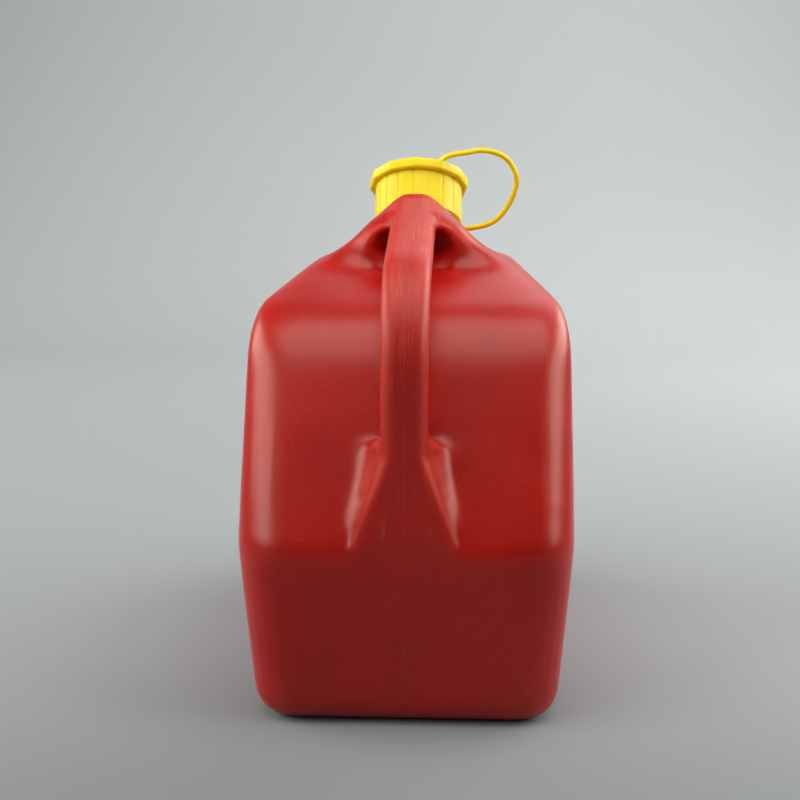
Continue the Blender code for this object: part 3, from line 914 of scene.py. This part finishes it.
skin_group, streak_group = plastic_skin(), streaks()
print("node groups", skin_group.name, streak_group.name)

# %% A plastic with its skin


def plastic(name, deep, pale, roughness, grain_scale, grain_height, shine=0.42):
    """A plastic whose colour drifts between a deep and a pale value. Returns its nodes to go on."""
    material = bpy.data.materials.new(name)
    material.use_nodes = True
    nodes, links = material.node_tree.nodes, material.node_tree.links
    skin = nodes.new("ShaderNodeGroup")
    skin.node_tree = skin_group
    skin.inputs["Grain scale"].default_value = grain_scale
    skin.inputs["Grain height"].default_value = grain_height
    drift = window(nodes, 0.32, 0.68)
    links.new(skin.outputs["Cloud"], drift.inputs["Value"])
    colour = tint(material, None, pale, drift.outputs["Result"])
    colour.node.inputs["A"].default_value = (*deep, 1)
    shader = nodes["Principled BSDF"]
    links.new(skin.outputs["Normal"], shader.inputs["Normal"])
    shader.inputs["Roughness"].default_value = roughness
    shader.inputs["IOR"].default_value = 1.5
    shader.inputs["Specular IOR Level"].default_value = shine
    return material, skin, colour


def tint(material, colour, towards, mask):
    """Mixes a colour over what is there by a mask, and makes the result the base colour."""
    nodes, links = material.node_tree.nodes, material.node_tree.links
    mix = nodes.new("ShaderNodeMix")
    mix.data_type = "RGBA"
    mix.inputs["B"].default_value = (*towards, 1)
    links.new(mask, mix.inputs["Factor"])
    if colour:
        links.new(colour, mix.inputs["A"])
    links.new(mix.outputs["Result"], nodes["Principled BSDF"].inputs["Base Color"])
    return mix.outputs["Result"]


def add_streaks(material, turn, size, patches, amount, where=None):
    """A mask of streaks, only where an attribute of the piece says so if one is named."""
    lines = material.node_tree.nodes.new("ShaderNodeGroup")
    lines.node_tree = streak_group
    lines.inputs["Turn"].default_value = [math.radians(angle) for angle in turn]
    lines.inputs["Size"].default_value = size
    lines.inputs["Patches"].default_value = patches
    mask = times(material, lines.outputs["Mask"], amount)
    return times(material, mask, attribute(material, where)) if where else mask


def attribute(material, name):
    read = material.node_tree.nodes.new("ShaderNodeAttribute")
    read.attribute_name = name
    return read.outputs["Fac"]


def times(owner, first, second, operation="MULTIPLY"):
    """Multiplies two values in a material or world, or works out something else from them."""
    product = owner.node_tree.nodes.new("ShaderNodeMath")
    product.operation = operation
    for socket, value in zip(product.inputs, (first, second)):
        if isinstance(value, float):
            socket.default_value = value
        else:
            owner.node_tree.links.new(value, socket)
    return product.outputs["Value"]


def soak(material, weight, bleed, reach):
    """Lets light travel under the surface, as far for each colour as the bleed times the reach."""
    shader = material.node_tree.nodes["Principled BSDF"]
    shader.inputs["Subsurface Weight"].default_value = weight
    shader.inputs["Subsurface Radius"].default_value = bleed
    shader.inputs["Subsurface Scale"].default_value = reach


# %% Red polyethylene with drag lines, scratches, paler edges and a painted highlight on the seam
RED_ROUGHNESS, WORN_ROUGHNESS = 0.33, 0.51
RED_SOAK, RED_BLEED, RED_REACH = 0.75, (1.0, 0.10, 0.06), 0.014
red, red_skin, red_colour = plastic(
    "red_polyethylene", (0.365, 0.003, 0.0006), (0.445, 0.006, 0.0012), RED_ROUGHNESS, 900, 0.00006
)
soak(red, RED_SOAK, RED_BLEED, RED_REACH)
drag = add_streaks(red, (0, 0, 0), (0.0007, 0.026, 0.026), 55, 0.80, "grip_wear")
scratches = add_streaks(red, (0, 38, 0), (0.0009, 0.020, 0.030), 22, 0.09)
marks = times(red, drag, scratches, "MAXIMUM")
red_colour = tint(red, red_colour, (0.56, 0.095, 0.052), marks)
# Paler where the skin bulges sharply. On the seam the same tint is a painted highlight against its
# shade.
pale_edges_and_seam_highlight = times(red, attribute(red, "paling_and_seam_highlight"), 0.30)
red_colour = tint(red, red_colour, (0.56, 0.050, 0.022), pale_edges_and_seam_highlight)
dust = times(red, red_skin.outputs["Speck"], 0.12)
red_colour = tint(red, red_colour, (0.60, 0.12, 0.07), dust)
red.node_tree.links.new(marks, red_skin.inputs["Marks"])
rough_red = window(red.node_tree.nodes, 0.0, 1.0, WORN_ROUGHNESS, RED_ROUGHNESS)
worn = times(red, attribute(red, "grip_wear"), 0.75)
red.node_tree.links.new(times(red, marks, worn, "MAXIMUM"), rough_red.inputs["Value"])
red.node_tree.links.new(
    rough_red.outputs["Result"], red.node_tree.nodes["Principled BSDF"].inputs["Roughness"]
)
print(red.name, len(red.node_tree.nodes), "nodes")

# %% [markdown]
# The seam's bead is so thin that light which soaks into it is lost, and it would turn into a dark
# line. It gets a copy of the red plastic that doesn't soak.

# %% The seam's red
seam_red = red.copy()
seam_red.name = "red_polyethylene_seam"
soak(seam_red, 0, RED_BLEED, RED_REACH)
print(seam_red.name, len(seam_red.node_tree.nodes), "nodes")

# %% Yellow polyethylene and black rubber
yellow, yellow_skin, yellow_colour = plastic(
    "yellow_polyethylene", (0.74, 0.60, 0.0), (0.79, 0.67, 0.0), 0.40, 1200, 0.00003, 0.30
)
soak(yellow, 0.5, (1.0, 0.75, 0.05), 0.004)
scuffs = add_streaks(yellow, (20, 65, 0), (0.0005, 0.006, 0.008), 60, 0.25)
yellow_colour = tint(yellow, yellow_colour, (0.80, 0.55, 0.05), scuffs)
yellow.node_tree.links.new(scuffs, yellow_skin.inputs["Marks"])
black, black_skin, black_colour = plastic(
    "black_rubber", (0.015, 0.015, 0.015), (0.03, 0.03, 0.03), 0.7, 1500, 0.00005
)
talc = times(black, black_skin.outputs["Speck"], 0.4)
tint(black, black_colour, (0.09, 0.09, 0.09), talc)
for piece, material in (
    (can_skin, red), (can_seam, seam_red), (neck, red), (screw_cap, yellow), (neck_ring, yellow),
    (cap_eye, yellow), (strap_lower, yellow), (strap_upper, yellow), (gasket, black),
):
    piece.data.materials.clear()
    piece.data.materials.append(material)
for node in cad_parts.values():
    node.data.materials.clear()
    node.data.materials.append(red)

# %% [markdown]
# ## Floor and backdrop
#
# The photograph was taken in a pale grey sweep: floor and backdrop run into each other, lighter at
# the upper right. The sheet is a plane whose far edge is extruded in small steps of a quarter turn
# and then straight up. It reaches far behind the camera too, so that the can stands on the same
# floor when it is seen from its sides.

# %% Sweep
SWEEP_WIDTH, SWEEP_LENGTH, SWEEP_MIDDLE = 14, 8.1, -2.95
SWEEP_STEPS, STEP_REACH, BACKDROP_HEIGHT = 12, 0.09, 2.5
sweep = add(bpy.ops.mesh.primitive_plane_add, size=1)
sweep.name = "sweep"
sweep.scale = (SWEEP_WIDTH, SWEEP_LENGTH, 1)
sweep.location = (0, SWEEP_MIDDLE, 0)
settle(sweep)
bpy.ops.object.mode_set(mode="EDIT")
bpy.ops.mesh.select_mode(type="EDGE")
bpy.ops.mesh.select_all(action="DESELECT")
bpy.ops.object.mode_set(mode="OBJECT")
for side in sweep.data.edges:
    side.select = all(sweep.data.vertices[k].co.y > 1 for k in side.vertices)
bpy.ops.object.mode_set(mode="EDIT")
for k in range(SWEEP_STEPS):
    lean = math.radians(90 / SWEEP_STEPS * (k + 0.5))
    forth = (0, STEP_REACH * math.cos(lean), STEP_REACH * math.sin(lean))
    bpy.ops.mesh.extrude_edges_move(TRANSFORM_OT_translate={"value": forth})
bpy.ops.mesh.extrude_edges_move(TRANSFORM_OT_translate={"value": (0, 0, BACKDROP_HEIGHT)})
bpy.ops.object.mode_set(mode="OBJECT")
shade(sweep, 60)

# %% [markdown]
# The sweep's grey is painted lighter with its distance behind the can, where the lamps' light falls
# off, and painted lighter towards the right, where the light is stronger. A darker patch in front
# of the can is a painted shadow, where the photographer's shadow falls. Far from the can, where the
# lamps no longer reach, the sheet shows a pale grey of its own, but only to the camera, so that it
# adds no light to the can.

# %% Grey of the sweep
SWEEP_NEAR, SWEEP_FAR = 0.0, 1.9
FLOOR_GREY, BACKDROP_GREY = (0.285, 0.315, 0.355), (0.58, 0.625, 0.66)
SHADOW_PLACE, FRONT_SHADE, LEFT_SHADE = (0.0, -0.50, 0.0), 0.62, 0.85
FAR_GLOW, FAR_COLOUR = 0.42, (0.95, 0.98, 1.0)


def far_from(tree, socket, place, stretch=(1, 1, 1)):
    """The distance of what a socket gives from a place, stretched along each axis."""
    moved = tree.nodes.new("ShaderNodeVectorMath")
    moved.operation = "MULTIPLY_ADD"
    moved.inputs[1].default_value = stretch
    moved.inputs[2].default_value = [-a * b for a, b in zip(place, stretch)]
    length = tree.nodes.new("ShaderNodeVectorMath")
    length.operation = "LENGTH"
    tree.links.new(socket, moved.inputs[0])
    tree.links.new(moved.outputs["Vector"], length.inputs[0])
    return length.outputs["Value"]


grey = bpy.data.materials.new("pale_sweep")
grey.use_nodes = True
nodes, links = grey.node_tree.nodes, grey.node_tree.links
shader = nodes["Principled BSDF"]
place = nodes.new("ShaderNodeTexCoord").outputs["Object"]
parts = nodes.new("ShaderNodeSeparateXYZ")
links.new(place, parts.inputs["Vector"])
# Painted light: the grey turns lighter with distance behind the can, where the lamps' light falls
# off.
painted_light_far = window(nodes, SWEEP_NEAR, SWEEP_FAR, smooth=True)
links.new(parts.outputs["Y"], painted_light_far.inputs["Value"])
# Painted shadow: a darker patch on the floor in front of the can.
near_shadow = window(nodes, 0.26, 0.54, 1.0, FRONT_SHADE, smooth=True)
links.new(far_from(grey.node_tree, place, SHADOW_PLACE), near_shadow.inputs["Value"])
# Painted shade: darker towards the left, lighter towards the right.
painted_light_to_the_right = window(nodes, -0.75, 0.25, 1.0, LEFT_SHADE)
links.new(parts.outputs["X"], painted_light_to_the_right.inputs["Value"])
shades = nodes.new("ShaderNodeMix")
darker = nodes.new("ShaderNodeMix")
shades.data_type = darker.data_type = "RGBA"
shades.inputs["A"].default_value = (*FLOOR_GREY, 1)
shades.inputs["B"].default_value = (*BACKDROP_GREY, 1)
links.new(painted_light_far.outputs["Result"], shades.inputs["Factor"])
darker.blend_type = "MULTIPLY"
darker.inputs["Factor"].default_value = 1
links.new(shades.outputs["Result"], darker.inputs["A"])
links.new(
    times(grey, near_shadow.outputs["Result"], painted_light_to_the_right.outputs["Result"]), darker.inputs["B"]
)
links.new(darker.outputs["Result"], shader.inputs["Base Color"])
shader.inputs["Roughness"].default_value = 0.9
shader.inputs["Specular IOR Level"].default_value = 0.2
far_glow = window(nodes, 1.02, 1.9, FAR_GLOW, smooth=True)
links.new(far_from(grey.node_tree, place, (0, 1, 0), (1, 0.6, 0.3)), far_glow.inputs["Value"])
seen = nodes.new("ShaderNodeLightPath").outputs["Is Camera Ray"]
links.new(times(grey, far_glow.outputs["Result"], seen), shader.inputs["Emission Strength"])
shader.inputs["Emission Color"].default_value = (*FAR_COLOUR, 1)
sweep.data.materials.append(grey)

# %% [markdown]
# ## Light
#
# A wide lamp overhead and a softer one behind light the roof and the grip. A long box on each side
# draws the pale stripe along each corner, and the side that faces the camera gets only what the
# surroundings give. The last lamp lights the backdrop. The world is dark except straight above,
# and pale only to the camera.

# %% Lamps and world
WARM, COOL, COOLER = (1.0, 0.945, 0.83), (0.97, 0.99, 1.0), (0.92, 0.97, 1.0)
ON_CAN = (0, -0.05, 0.14)


def lamp(name, place, aim, size, power, colour=WARM):
    """A rectangular lamp at a place, turned towards another."""
    light = add(bpy.ops.object.light_add, type="AREA", location=place)
    light.name = name
    light.data.shape = "RECTANGLE"
    light.data.size, light.data.size_y = size
    light.data.energy = power
    light.data.color = colour
    light.rotation_euler = (Vector(aim) - Vector(place)).to_track_quat("-Z", "Y").to_euler()
    return light


lamp("overhead", (0.08, -0.27, 1.00), (0, -0.04, 0.1), (1.1, 0.8), 7.6)
lamp("behind", (0.45, 0.95, 0.95), (0, 0, 0.15), (1.2, 0.7), 2.6, COOL)
lamp("left_box", (-1.10, -0.22, 0.72), ON_CAN, (2.2, 0.6), 22)
lamp("right_box", (1.10, 0.19, 0.70), ON_CAN, (2.0, 0.6), 20)
lamp("on_backdrop", (0.35, 0.75, 1.55), (0.45, 2.0, 0.90), (1.6, 0.5), 7, COOLER)
world = bpy.data.worlds[0] if bpy.data.worlds else bpy.data.worlds.new("studio")
bpy.context.scene.world = world
world.use_nodes = True
nodes, links = world.node_tree.nodes, world.node_tree.links
parts = nodes.new("ShaderNodeSeparateXYZ")
links.new(nodes.new("ShaderNodeTexCoord").outputs["Generated"], parts.inputs["Vector"])
ceiling = window(nodes, 0.70, 0.97, 0.40, 0.05, smooth=True)
links.new(parts.outputs["Z"], ceiling.inputs["Value"])
haze = times(world, nodes.new("ShaderNodeLightPath").outputs["Is Camera Ray"], FAR_GLOW)
brighter = times(world, ceiling.outputs["Result"], haze, "MAXIMUM")
links.new(brighter, nodes["Background"].inputs["Strength"])
nodes["Background"].inputs["Color"].default_value = (0.98, 0.98, 0.97, 1)

bpy.context.scene.view_settings.view_transform = "Standard"
